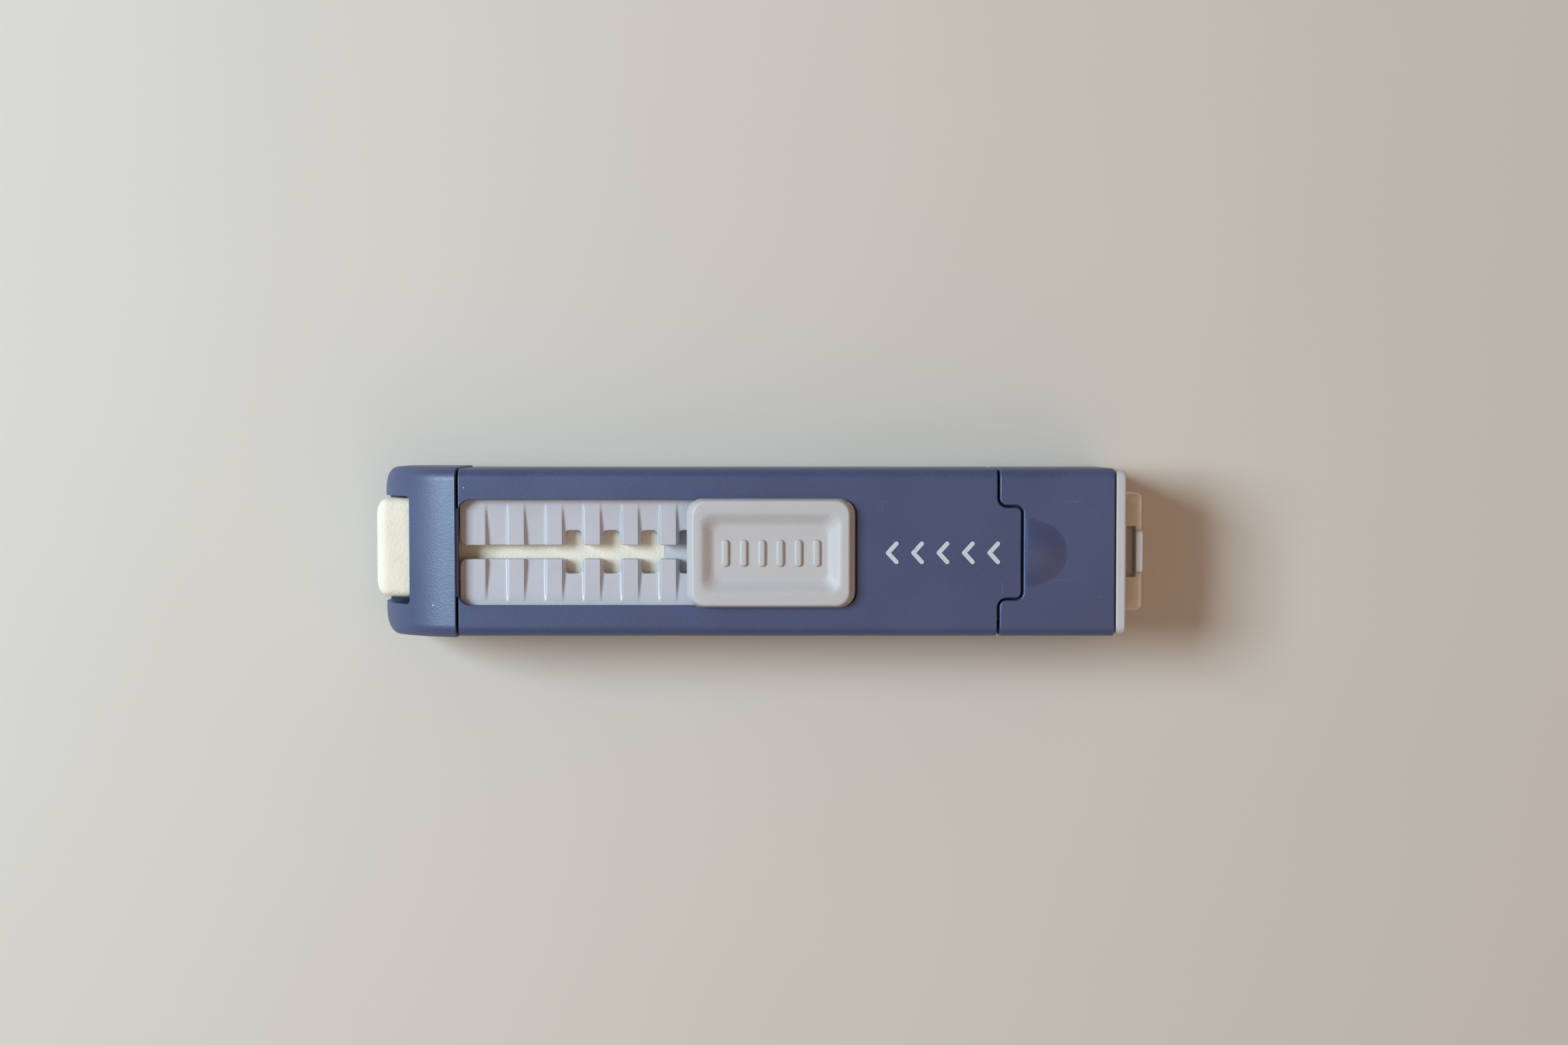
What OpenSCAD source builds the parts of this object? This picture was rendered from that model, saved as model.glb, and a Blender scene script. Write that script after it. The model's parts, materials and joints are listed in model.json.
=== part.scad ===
// Pocket eraser stick with a slide-out eraser and a pencil sharpener in its tail.
// Millimetres. X runs along the stick from eraser to sharpener, Z is up,
// and the origin is under the middle of the stick, on the surface it lies on.

/* [Case] */
// Width of the case across Y
body_w = 21.25; // [21:0.05:22]
// Height of the case
body_h = 17; // [17:0.2:18]
// Thickness of the case walls
wall = 1.5; // [1.3:0.1:1.5]
// Radius of the case's long edges
edge_r = 1.4; // [0.8:0.1:1.4]
// Half of the length from eraser tip to flap tab
half_len = 48.98; // [48.96:0.01:49.1]
// Place of the case's front end
front_x = -37.85; // [-38:0.05:-37.8]
// Place of the seam between case and shavings bin
rear_x = 30.2; // [30:0.1:30.3]
// Visible gap at the two seams
seam_gap = 0.3; // [0.3:0.02:0.5]

/* [Nose cap] */
// How far the cap stands proud of the case on each side
cap_step = 0.2; // [0.1:0.05:0.3]
// Place of the cap's foremost point
nose_x = -48.75; // [-48.9:0.05:-48.6]
// Height of the cap's foremost point
nose_z = 5.4; // [5:0.1:5.8]
// Radius under the cap's chin, seen from the side
chin_r = 3.6; // [3:0.1:4]
// Width of the eraser's mouth in the cap
mouth_w = 13.9; // [13.6:0.1:14]
// Top of the mouth, which frees the eraser between two horns
mouth_z1 = 14.04; // [13.9:0.02:14.2]
// Radius of the cap's two corners in plan
cap_plan_r = 2.2; // [1:0.1:2.4]

/* [Eraser] */
// Width of the eraser
eraser_w = 12.7; // [12.3:0.1:12.8]
// Height of the eraser
eraser_h = 9.6; // [9.2:0.1:9.8]
// Place where the carrier's cup takes over from the bare eraser
cup_x = -12; // [-12.4:0.1:-11.6]
// Depth of the cup that grips the eraser's tail
cup_depth = 4.8; // [4:0.1:5]

/* [Track] */
// Width of the window that shows the track
window_w = 13.4; // [13.3:0.1:13.5]
// Place of the window's rear end
window_x1 = 12.45; // [12.4:0.01:12.6]
// Radius of the window's corners
window_r = 1.8; // [1.2:0.1:2]
// Distance from one rib to the next
rib_pitch = 4.82; // [4.8:0.01:4.84]
// Width of a rib along the track
rib_w = 2.05; // [1.9:0.05:2.2]
// Number of ribs
rib_count = 9; // [7:1:9]
// Depth of the scooped troughs between ribs, at the middle
scoop_depth = 0.6; // [0.5:0.1:1]
// Width of the slot for the slider's stem
slot_w = 1.76; // [1.7:0.02:1.9]
// Width over a pair of click notches
notch_w = 5.5; // [5:0.1:6]

/* [Slider] */
// Length of the thumb slider
slider_len = 21.16; // [21:0.02:21.2]
// Width of the thumb slider
slider_w = 13.8; // [13.8:0.1:14]
// Height of the slider above the case
slider_rise = 1.6; // [1.4:0.1:2]
// Number of grip ridges in the slider's dish
ridge_count = 6; // [3:1:6]

/* [Sharpener] */
// Radius of the hole that takes a pencil
pencil_r = 4.1; // [4:0.05:4.1]
// Width of the sharpener block
block_w = 13.4; // [13:0.1:13.4]
// Height of the sharpener block
block_h = 10.4; // [10:0.1:10.4]
// Width of the closing flap
flap_w = 15; // [14.6:0.1:15]

/* [Hidden] */
$fn = 48;
hull_fn = 32;
cut = 1;                                    // how far a cutting solid passes the face it opens

// Heights, from the surface up
deck_z = body_h - wall;                     // underside of the case's top wall, and top of the track
pencil_z = body_h / 2;
eraser_z0 = (body_h - eraser_h) / 2;
eraser_z1 = eraser_z0 + eraser_h;
slide_gap = 0.3;                            // running clearance between moving plastic parts
channel_z0 = eraser_z0 - slide_gap;
channel_z1 = eraser_z1 + slide_gap;
channel_w = eraser_w + 2 * slide_gap;

// Case
cavity_w = body_w - 2 * wall;
bulkhead_x = 14.2;                          // wall between eraser half and sharpener half
bulkhead_t = 1.2;
inner_r = 0.5;                              // radius in the corners of hollows
spigot_root = 2.2;                          // collar that carries the spigot inside the case
spigot_len = 6.8;
spigot_w = cavity_w - 2 * slide_gap;
spigot_wall = 1.2;
tongue_len = 3;                             // tongue of the case's top wall over the bin
tongue_w = 11.4;
tongue_r = 0.7;
tongue_root_r = 1.2;

// Nose cap
cap_x1 = front_x - seam_gap;
cap_w = body_w + 2 * cap_step;
cap_h = body_h + cap_step;
arch_len = 14.05;                           // half axes of the brow, an ellipse seen from the side
arch_x = nose_x + arch_len;
arch_h = 12.12;
arch_steps = 24;
core_x = cap_x1 - 4;                        // bottom of the pocket behind the cap
core_wall = 1;
latch_gap = 0.1;
lip_gap = 0.05;
latch_len = 10.5;
latch_t = 1;
latch_h = 7;
lip_w = 11.2;
lip_drop = 0.15;                            // lip's top edge below the case's top
cap_edge_r = edge_r + cap_step;

// Track sleeve
sleeve_x0 = front_x + 0.1;
sleeve_x1 = 13.7;
sleeve_wall = 1.15;
sleeve_w = channel_w + 2 * sleeve_wall;
first_rib_x = -31.7;
end_block_x = -34.55;
trough_len = rib_pitch - rib_w;
scoop_half = window_w / 2 - 0.35;
scoop_r = (pow(scoop_half, 2) + pow(scoop_depth, 2)) / (2 * scoop_depth);
slot_x1 = 9.2;
notch_len = 2.1;
notch_r = 0.5;
first_notch = 2;                            // the first two troughs have no notches
window_lead = 0.15;                         // how far the window's outline starts ahead of the case

// Slider and carrier
slider_stop_gap = 0.24;                     // between the slider and the window's rear end
slider_x1 = window_x1 - slider_stop_gap;
slider_x0 = slider_x1 - slider_len;
slider_mid = (slider_x0 + slider_x1) / 2;
slider_top = body_h + slider_rise;
slider_foot = body_h + 0.2;                 // underside of the part that laps over the case
slider_taper = 0.7;
slider_band = 0.2;                          // upright band at the foot and rim of the slider
slider_r = 2;
skirt_z0 = deck_z + slide_gap;
skirt_inset = 0.35;
dish_len = 17.1;
dish_w = 10.3;
dish_depth = 0.95;
dish_slope = 2;
dish_r = 1.6;
dish_floor_r = 0.9;
ridge_w = 0.95;
ridge_len = 3.4;
ridge_h = 0.35;
ridge_r = 0.3;
ridge_pitch = 2.3;
lug = [1.6, 1.6, 0.16];                     // detent lugs under the slider
lug_y = 1.9;
stem_x0 = -4.8;
stem_x1 = 7.2;
stem_w = 1.4;
stem_top = deck_z + 1.1;
socket_gap = 0.05;                          // clearance round a pushed-in stem
carrier_w = eraser_w - 0.1;
carrier_wall = 0.9;
carrier_x1 = 7.6;
carrier_drop = 0.05;                        // carrier's clearance to the eraser's own height
cup_x1 = cup_x + cup_depth;
tail_inset = carrier_wall + 0.1;
eraser_r = 0.9;
carrier_r = 0.5;
carrier_rib = 1;                            // walls left round the pocket under the carrier

// Bin
bin_x0 = rear_x + seam_gap;
bin_x1 = 45.05;
bump_x = rear_x + tongue_len + seam_gap + 0.3;
bump_h = 1.3;
bump_reach = 5.2;
bump_r = (pow(bump_reach, 2) + pow(bump_h, 2)) / (2 * bump_h);

// End plate
plate_x0 = 45.15;
plate_x1 = 46.5;
plate_inset = 0.25;
plate_r = 1.2;
plate_skirt = 2.5;
plate_skirt_wall = 1;
plate_hole_r = pencil_r + 0.3;

// Hinge of the flap
hinge_x = 47.45;
hinge_z = 3;
hinge_pin_r = 0.32;
hinge_hole_r = 0.36;
ear_r = 0.58;
ear_y = 5.2;
ear_t = 0.9;
knuckle_r = 0.82;

// Flap
flap_x0 = hinge_x - knuckle_r;
flap_x1 = 48.8;
flap_front_t = 0.7;
flap_side_t = 0.95;
flap_top_t = 0.8;
flap_z1 = 14;
flap_r = 0.8;
flap_sill_w = 9.6;
flap_sill_t = 0.45;
flap_plan_r = 0.6;
pin_y0 = 5;                                 // each hinge pin's span across Y
pin_y1 = 7.25;
finger_w = 6.5;                             // finger notch in the flap's top wall
tab_w = 5.4;
tab_t = half_len - flap_x1 + flap_front_t;   // the tab fills the whole front wall and stands proud
tab_z0 = 9.2;
tab_z1 = 14.3;
tab_r = 0.5;

// Sharpener
block_x0 = 21.2;
bore_len = 8;
tip_r = 0.9;
cone_len = 15;
cone_x1 = plate_x0 - bore_len;
cone_x0 = cone_x1 - cone_len;
cone_slope = atan((pencil_r - tip_r) / cone_len);
blade_bite = 0.25;                          // how far the blade's seat opens the cone
seat_z = pencil_z + tip_r - blade_bite;
blade_len = 15;
blade_x0 = 0.2;
blade_y0 = -6.3;
blade_edge_y = 0.3;
blade_t = 0.8;
blade_bevel = 1.1;
screw_at = 7.4;
screw_y = -4.3;
screw_head_r = 1.8;
screw_head_h = 0.9;
screw_r = 0.98;
screw_len = 4.2;
screw_slot_w = 0.5;
screw_slot_depth = 0.45;
pilot_r = 1;
pilot_depth = 4.4;
blade_hole_r = 1.3;

// Rounded rectangle about the origin
module round_rect(w, h, r) {
    square([w - 2 * r, h], center = true);
    square([w, h - 2 * r], center = true);
    for (sx = [-1, 1], sy = [-1, 1])
        translate([sx * (w / 2 - r), sy * (h / 2 - r)]) circle(r = r);
}

// Bar along X with a rounded section in Y and Z
module bar(x0, x1, w, z0, z1, r) {
    translate([x0, 0, (z0 + z1) / 2])
        rotate([90, 0, 90])
            linear_extrude(x1 - x0) round_rect(w, z1 - z0, r);
}

// Slab along Z with a rounded outline in X and Y
module slab(x0, x1, w, z0, z1, r) {
    translate([(x0 + x1) / 2, 0, z0])
        linear_extrude(z1 - z0) round_rect(x1 - x0, w, r);
}

// Plain block centred on Y = 0
module block(x0, x1, w, z0, z1) {
    translate([x0, -w / 2, z0]) cube([x1 - x0, w, z1 - z0]);
}

// Cylinder along Y through the point (x, z)
module rod_y(x, z, r, y0, y1) {
    translate([x, y0, z]) rotate([-90, 0, 0]) cylinder(r = r, h = y1 - y0);
}

// Cylinder along X on the pencil's line
module rod_x(x0, x1, r) {
    translate([x0, 0, pencil_z]) rotate([0, 90, 0]) cylinder(r = r, h = x1 - x0);
}

// Outline of the case's rear tongue; grown by a gap it is the bin's cut-out
module tongue_outline(grow) {
    half = tongue_w / 2 + grow;
    root = tongue_root_r - grow;
    lap = 0.1;
    translate([rear_x, 0])
        round_rect(2 * (tongue_len + grow), 2 * half, tongue_r + grow);
    for (side = [0, 1])
        mirror([0, side])
            difference() {
                translate([rear_x + grow - lap, half - lap]) square(root + lap);
                translate([rear_x + tongue_root_r, tongue_w / 2 + tongue_root_r]) circle(r = root);
            }
}

// Children placed on the sloping seat of the blade: x up the slope, z out of it
module on_seat() {
    translate([cone_x0, 0, seat_z]) rotate([0, -cone_slope, 0]) children();
}

module body_shell() {
    color("#474d77")
        difference() {
            union() {
                bar(front_x, rear_x, body_w, 0, body_h, edge_r);
                bar(rear_x - spigot_root, rear_x + spigot_len, spigot_w,
                    wall + slide_gap, deck_z - slide_gap, wall);
                translate([0, 0, deck_z - spigot_wall])
                    linear_extrude(wall + spigot_wall) tongue_outline(0);
            }
            // Eraser half, open at the front
            bar(front_x - cut, bulkhead_x, cavity_w, wall, deck_z, inner_r);
            // Shavings half and the way through the spigot
            bar(bulkhead_x + bulkhead_t, rear_x - spigot_root, cavity_w, wall, deck_z, inner_r);
            bar(bulkhead_x + bulkhead_t, rear_x + spigot_len + cut, spigot_w - 2 * spigot_wall,
                wall + slide_gap + spigot_wall, deck_z - slide_gap - spigot_wall, inner_r);
            // Window over the track
            slab(front_x - window_lead, window_x1, window_w, deck_z - cut, body_h + cut, window_r);
        }
}

// Side view of the cap: an elliptical brow over a rounded chin
module cap_profile() {
    seam_turn = asin((arch_x - cap_x1) / arch_len);
    brow = [for (i = [0 : arch_steps])
        let (turn = seam_turn + (90 - seam_turn) * i / arch_steps)
            [arch_x - arch_len * sin(turn), nose_z + arch_h * cos(turn)]];
    chin = [for (i = [0 : arch_steps / 2])
        let (turn = 180 * i / arch_steps)
            [nose_x + chin_r * (1 - cos(turn)), chin_r * (1 - sin(turn))]];
    polygon(concat(brow, chin, [[cap_x1, 0]]));
}

// Blank of the cap before it is opened
module cap_blank() {
    intersection() {
        bar(nose_x, cap_x1, cap_w, 0, cap_h, cap_edge_r);
        slab(nose_x, cap_x1 + 2 * cap_plan_r, cap_w, 0, cap_h, cap_plan_r);
        translate([0, cap_w / 2, 0]) rotate([90, 0, 0]) linear_extrude(cap_w) cap_profile();
    }
}

module nose_cap() {
    color("#4c5583") {
        difference() {
            cap_blank();
            // Mouth for the eraser
            bar(nose_x - cut, cap_x1 + cut, mouth_w, channel_z0, mouth_z1, inner_r);
            // Pocket cored out behind, on both sides of the mouth and under it
            difference() {
                bar(core_x, cap_x1 + cut, cap_w - 2 * wall, wall, mouth_z1 + inner_r, wall);
                bar(core_x - cut, cap_x1 + 2 * cut, mouth_w + 2 * core_wall,
                    channel_z0 - core_wall, mouth_z1 + core_wall, core_wall);
            }
        }
        // Lip that closes the front of the window
        block(cap_x1 - wall, front_x - lip_gap, lip_w, deck_z + lip_gap, body_h - lip_drop);
        // Latch tongues that hold the cap in the case
        for (side = [-1, 1])
            translate([0, side * (sleeve_w / 2 + latch_gap + latch_t / 2), 0])
                block(core_x - latch_gap, cap_x1 + latch_len, latch_t,
                      pencil_z - latch_h / 2, pencil_z + latch_h / 2);
    }
}

// Concave trough across the track, from x0 to x1
module trough(x0, x1) {
    intersection() {
        translate([x0, 0, deck_z - scoop_depth + scoop_r])
            rotate([0, 90, 0]) cylinder(r = scoop_r, h = x1 - x0);
        block(x0 - cut, x1 + cut, window_w, channel_z1, deck_z + cut);
    }
}

module track_sleeve() {
    color("#b0b0c0")
        difference() {
            bar(sleeve_x0, sleeve_x1, sleeve_w, wall, deck_z, inner_r);
            bar(sleeve_x0 - cut, sleeve_x1 - sleeve_wall, channel_w, channel_z0, channel_z1, inner_r);
            block(sleeve_x0 - cut, slot_x1, slot_w, channel_z1 - cut, deck_z + cut);
            trough(end_block_x, first_rib_x);
            for (i = [0 : rib_count - 1]) {
                x = first_rib_x + rib_w + i * rib_pitch;
                trough(x, x + trough_len);
            }
            for (i = [first_notch - 1 : rib_count - 2]) {
                x = first_rib_x + rib_w + i * rib_pitch + trough_len / 2;
                slab(x - notch_len / 2, x + notch_len / 2, notch_w,
                     channel_z1 - cut, deck_z + cut, notch_r);
            }
        }
}

// Thumb pad with sloping sides and a sloping dish
module thumb_pad() {
    difference() {
        hull($fn = hull_fn) {
            slab(slider_x0, slider_x1, slider_w, slider_foot, slider_foot + slider_band, slider_r);
            slab(slider_x0 + slider_taper, slider_x1 - slider_taper, slider_w - 2 * slider_taper,
                 slider_top - slider_band, slider_top, slider_r - slider_band);
        }
        translate([slider_mid, 0, slider_top - dish_depth])
            hull($fn = hull_fn) {
                linear_extrude(slider_band / 2)
                    round_rect(dish_len - 2 * dish_slope, dish_w - 2 * dish_slope, dish_floor_r);
                translate([0, 0, dish_depth]) linear_extrude(cut) round_rect(dish_len, dish_w, dish_r);
            }
    }
}

module slider_button() {
    color("#b7b3b2") {
        difference() {
            union() {
                thumb_pad();
                slab(slider_x0 + skirt_inset, slider_x1 - skirt_inset, window_w - 2 * slide_gap,
                     skirt_z0, slider_foot + slider_band, window_r - slide_gap);
            }
            block(stem_x0 - socket_gap, stem_x1 + socket_gap, stem_w + 2 * socket_gap,
                  skirt_z0 - cut, stem_top + socket_gap);
        }
        for (i = [0 : ridge_count - 1]) {
            x = slider_mid + (i - (ridge_count - 1) / 2) * ridge_pitch;
            slab(x - ridge_w / 2, x + ridge_w / 2, ridge_len, slider_top - dish_depth - slider_band,
                 slider_top - dish_depth + ridge_h, ridge_r);
        }
        for (side = [-1, 1])
            translate([slider_mid, side * lug_y, skirt_z0 - lug[2]])
                linear_extrude(2 * lug[2]) square([lug[0], lug[1]], center = true);
    }
}

module eraser_carrier() {
    z0 = eraser_z0 + carrier_drop;
    z1 = eraser_z1 - carrier_drop;
    color("#93a0b4")
        difference() {
            union() {
                bar(cup_x, carrier_x1, carrier_w, z0, z1, carrier_r);
                block(stem_x0, stem_x1, stem_w, z1 - carrier_rib, stem_top);
            }
            bar(cup_x - cut, cup_x1, carrier_w - 2 * carrier_wall, z0 + carrier_wall,
                z1 - carrier_wall, carrier_r);
            block(cup_x1 + carrier_rib, carrier_x1 - carrier_rib, carrier_w - 2 * carrier_rib,
                  z0 - cut, z1 - carrier_rib);
        }
}

module eraser() {
    color("#ebe8d7") {
        bar(-half_len, cup_x, eraser_w, eraser_z0, eraser_z1, eraser_r);
        bar(cup_x - cut, cup_x1 - socket_gap, eraser_w - 2 * tail_inset, eraser_z0 + tail_inset,
            eraser_z1 - tail_inset, carrier_r);
    }
}

module bin_cover() {
    color("#474d77") {
        difference() {
            bar(bin_x0, bin_x1, body_w, 0, body_h, edge_r);
            bar(bin_x0 - cut, bin_x1 + cut, cavity_w, wall, deck_z, inner_r);
            translate([0, 0, deck_z - inner_r])
                linear_extrude(wall + cut) tongue_outline(seam_gap);
        }
        // Thumb bump beside the seam
        intersection() {
            translate([bump_x, 0, body_h + bump_h - bump_r]) sphere(r = bump_r);
            block(bump_x, bump_x + 2 * bump_reach, body_w, body_h - inner_r, body_h + 2 * bump_h);
        }
    }
}

module end_plate() {
    color("#c6c4ca")
        difference() {
            union() {
                bar(plate_x0, plate_x1, body_w - 2 * plate_inset, plate_inset,
                    body_h - plate_inset, plate_r);
                // Skirt that plugs into the bin
                difference() {
                    bar(plate_x0 - plate_skirt, plate_x0 + plate_inset, cavity_w - 2 * socket_gap,
                        wall + socket_gap, deck_z - socket_gap, inner_r);
                    bar(plate_x0 - plate_skirt - cut, plate_x0, cavity_w - 2 * plate_skirt_wall,
                        wall + plate_skirt_wall, deck_z - plate_skirt_wall, inner_r);
                }
                // Ears for the flap's hinge pins
                for (side = [-1, 1])
                    translate([0, side * (ear_y + ear_t / 2), 0]) {
                        block(plate_x1 - plate_inset, hinge_x, ear_t, hinge_z - ear_r, hinge_z + ear_r);
                        rod_y(hinge_x, hinge_z, ear_r, -ear_t / 2, ear_t / 2);
                    }
            }
            rod_x(plate_x0 - cut, plate_x1 + cut, plate_hole_r);
            rod_y(hinge_x, hinge_z, hinge_pin_r, -flap_w, flap_w);
        }
}

module sharpener_body() {
    color("#a9abb2")
        difference() {
            bar(block_x0, plate_x0, block_w, pencil_z - block_h / 2, pencil_z + block_h / 2, inner_r);
            rod_x(cone_x1, plate_x0 + cut, pencil_r);
            translate([cone_x0, 0, pencil_z])
                rotate([0, 90, 0]) cylinder(r1 = tip_r, r2 = pencil_r, h = cone_len);
            rod_x(block_x0 - cut, cone_x0 + socket_gap, tip_r);
            // Slope that carries the blade, with a step at its top
            on_seat() translate([-block_h, -block_w, 0])
                cube([block_h + blade_x0 + blade_len + slide_gap, 2 * block_w, block_h]);
            on_seat() translate([screw_at, screw_y, -pilot_depth]) cylinder(r = pilot_r, h = block_h);
        }
}

module sharpener_blade() {
    color("#c9ccd0")
        on_seat()
            difference() {
                translate([blade_x0, 0, 0])
                    rotate([90, 0, 90])
                        linear_extrude(blade_len)
                            polygon([[blade_y0, 0], [blade_edge_y, 0],
                                     [blade_edge_y - blade_bevel, blade_t], [blade_y0, blade_t]]);
                translate([screw_at, screw_y, -cut]) cylinder(r = blade_hole_r, h = 3 * cut);
            }
}

module blade_screw() {
    color("#b9bcc0")
        on_seat()
            translate([screw_at, screw_y, 0])
                difference() {
                    union() {
                        translate([0, 0, blade_t]) cylinder(r = screw_head_r, h = screw_head_h);
                        translate([0, 0, -screw_len]) cylinder(r = screw_r, h = screw_len + blade_t);
                    }
                    translate([-screw_head_r, -screw_slot_w / 2, blade_t + screw_head_h - screw_slot_depth])
                        cube([2 * screw_head_r, screw_slot_w, cut]);
                }
}

module entry_flap() {
    z0 = hinge_z - knuckle_r;
    inner_x1 = flap_x1 - flap_front_t;
    inner_w = flap_w - 2 * flap_side_t;
    color("#9b8f88", 0.55)
        difference() {
            intersection() {
                bar(flap_x0, flap_x1, flap_w, z0, flap_z1, flap_r);
                slab(flap_x0 - flap_r, flap_x1, flap_w, z0, flap_z1, flap_plan_r);
                union() {
                    rod_y(hinge_x, hinge_z, knuckle_r, -flap_w, flap_w);
                    block(hinge_x, flap_x1, flap_w, z0, hinge_z);
                    block(flap_x0, flap_x1, flap_w, hinge_z, flap_z1);
                }
            }
            // Hollow that faces the end plate
            block(flap_x0 - cut, inner_x1, inner_w, z0 + flap_sill_t, flap_z1 - flap_top_t);
            // Room for the hinge ears on both sides of the sill
            for (side = [-1, 1])
                translate([0, side * (flap_sill_w + inner_w) / 4, 0])
                    block(flap_x0 - cut, inner_x1, (inner_w - flap_sill_w) / 2, z0 - cut, hinge_z);
            block(flap_x0 - cut, hinge_x, flap_sill_w + cut, z0 - cut, hinge_z);
            // Finger notch in the top wall
            block(flap_x0 - cut, inner_x1, finger_w, flap_z1 - 2 * flap_top_t, flap_z1 + cut);
            rod_y(hinge_x, hinge_z, hinge_hole_r, -flap_w, flap_w);
            // Recess for the tab
            bar(half_len - tab_t, half_len + cut, tab_w, tab_z0, tab_z1, tab_r);
        }
}

module flap_tab() {
    color("#c6c4ca") bar(half_len - tab_t, half_len, tab_w, tab_z0, tab_z1, tab_r);
}

module flap_hinge_pins() {
    color("#b9bcc0")
        for (side = [-1, 1])
            rod_y(hinge_x, hinge_z, hinge_pin_r, min(side * pin_y0, side * pin_y1),
                  max(side * pin_y0, side * pin_y1));
}

body_shell();
nose_cap();
track_sleeve();
slider_button();
eraser_carrier();
eraser();
bin_cover();
end_plate();
sharpener_body();
sharpener_blade();
blade_screw();
entry_flap();
flap_tab();
flap_hinge_pins();
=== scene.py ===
"""Looks of a pocket eraser stick with a pencil sharpener in its tail.

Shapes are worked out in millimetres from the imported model's own boxes and turned
into metres when a piece is finished. +X runs from the eraser to the sharpener, +Z is up.
"""
import bmesh
import bpy
import json
import math
from mathutils import Matrix, Vector, noise


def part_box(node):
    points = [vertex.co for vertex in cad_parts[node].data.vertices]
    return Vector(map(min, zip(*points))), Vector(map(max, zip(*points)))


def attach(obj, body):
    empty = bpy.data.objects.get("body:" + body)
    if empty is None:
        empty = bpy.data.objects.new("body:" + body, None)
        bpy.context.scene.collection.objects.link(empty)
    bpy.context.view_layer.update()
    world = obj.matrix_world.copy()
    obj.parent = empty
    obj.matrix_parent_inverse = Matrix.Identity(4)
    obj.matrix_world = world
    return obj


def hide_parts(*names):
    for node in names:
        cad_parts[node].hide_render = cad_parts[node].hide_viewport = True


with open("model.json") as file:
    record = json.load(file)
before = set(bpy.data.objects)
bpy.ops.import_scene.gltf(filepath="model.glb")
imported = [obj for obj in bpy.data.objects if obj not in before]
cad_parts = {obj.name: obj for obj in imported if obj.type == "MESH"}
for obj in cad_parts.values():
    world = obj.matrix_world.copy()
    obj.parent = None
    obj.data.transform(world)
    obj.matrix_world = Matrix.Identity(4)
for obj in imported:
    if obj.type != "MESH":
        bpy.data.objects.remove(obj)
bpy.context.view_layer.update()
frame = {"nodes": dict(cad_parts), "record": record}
MM = 0.001


# ---------------------------------------------------------------- sizes from the frame

def span(node):
    """Lowest and highest corner of a CAD node, in millimetres."""
    low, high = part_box(node)
    return low / MM, high / MM


case_lo, case_hi = span("body_shell")
cap_lo, cap_hi = span("nose_cap")
track_lo, track_hi = span("track_sleeve")
slider_lo, slider_hi = span("slider_button")
carrier_lo, _ = span("eraser_carrier")
rubber_lo, rubber_hi = span("eraser")
bin_lo, bin_hi = span("bin_cover")
plate_lo, _ = span("end_plate")
flap_lo, flap_hi = span("entry_flap")
tab_lo, tab_hi = span("flap_tab")

CASE_W = case_hi.y - case_lo.y
CASE_H = 17.0
WALL = 1.5
EDGE_R = 1.4                         # long edges of the case and the bin
DECK = track_hi.z                    # top of the track, underside of the case's top wall
MID_Z = CASE_H / 2
SEAM = 0.3                           # visible gap at both seams
FRONT = case_lo.x                    # front end of the case, behind the cap
REAR = bin_lo.x - SEAM               # rear end of the case's outside, before the bin
TONGUE_LEN = 3.0                     # how far the case's tongue reaches into the bin's top
TONGUE_W = 11.4
TONGUE_R = 0.7                       # corners of the tongue
TONGUE_ROOT_R = 1.2                  # fillets where the tongue leaves the seam
WINDOW_W = 13.4
WINDOW_R = 1.8
WINDOW_END = slider_hi.x + 0.24
INNER_R = 0.5                        # edges of the hollows
CHANNEL_W = 13.5                     # the eraser's channel through track and cap
CHANNEL_Z = (3.4, 13.6)
SPIGOT_GAP = 0.3                     # between the case's spigot and the bin around it
SPIGOT_WALL = 1.2
BULKHEAD = (14.2, 15.4)              # wall between the track's room and the bin's, along X
PLATE_END = 46.5                     # outer face of the end plate
joints = {joint["name"]: joint for joint in frame["record"]["behaviour"]["joints"]}
HINGE_X, _, HINGE_Z = (value / MM for value in joints["flap_hinge"]["pos_m"])


# ---------------------------------------------------------------- outlines and solids

def arc(cx, cy, r, start, sweep, steps):
    """Points on an arc, angles in degrees, both ends included."""
    angles = [math.radians(start + sweep * i / steps) for i in range(steps + 1)]
    return [(cx + r * math.cos(a), cy + r * math.sin(a)) for a in angles]


def round_rect(w, h, r, steps=8):
    """Rounded rectangle about the origin, counter-clockwise."""
    points = []
    for sx, sy, start in ((1, 1, 0), (-1, 1, 90), (-1, -1, 180), (1, -1, 270)):
        points += arc(sx * (w / 2 - r), sy * (h / 2 - r), r, start, 90, steps)
    return points


def mesh_object(name, verts, faces):
    mesh = bpy.data.meshes.new(name)
    mesh.from_pydata([tuple(v) for v in verts], [], faces)
    mesh.validate()
    obj = bpy.data.objects.new(name, mesh)
    bpy.context.scene.collection.objects.link(obj)
    return obj


def loft(name, loops):
    """Closed solid through loops that all have the same number of points."""
    count = len(loops[0])
    verts = [p for loop in loops for p in loop]
    faces = []
    for row in range(len(loops) - 1):
        for i in range(count):
            j = (i + 1) % count
            a, b = row * count, (row + 1) * count
            faces.append((a + i, a + j, b + j, b + i))
    faces.append(tuple(reversed(range(count))))
    faces.append(tuple(range((len(loops) - 1) * count, len(loops) * count)))
    obj = mesh_object(name, verts, faces)
    fix_normals(obj)
    return obj


def fix_normals(obj):
    bm = bmesh.new()
    bm.from_mesh(obj.data)
    bmesh.ops.recalc_face_normals(bm, faces=bm.faces)
    bm.to_mesh(obj.data)
    bm.free()


def bar(x0, x1, w, z0, z1, r, steps=8):
    """Bar along X with a rounded section."""
    section = round_rect(w, z1 - z0, r, steps)
    mid = (z0 + z1) / 2
    return loft("bar", [[(x, y, mid + z) for y, z in section] for x in (x0, x1)])


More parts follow.
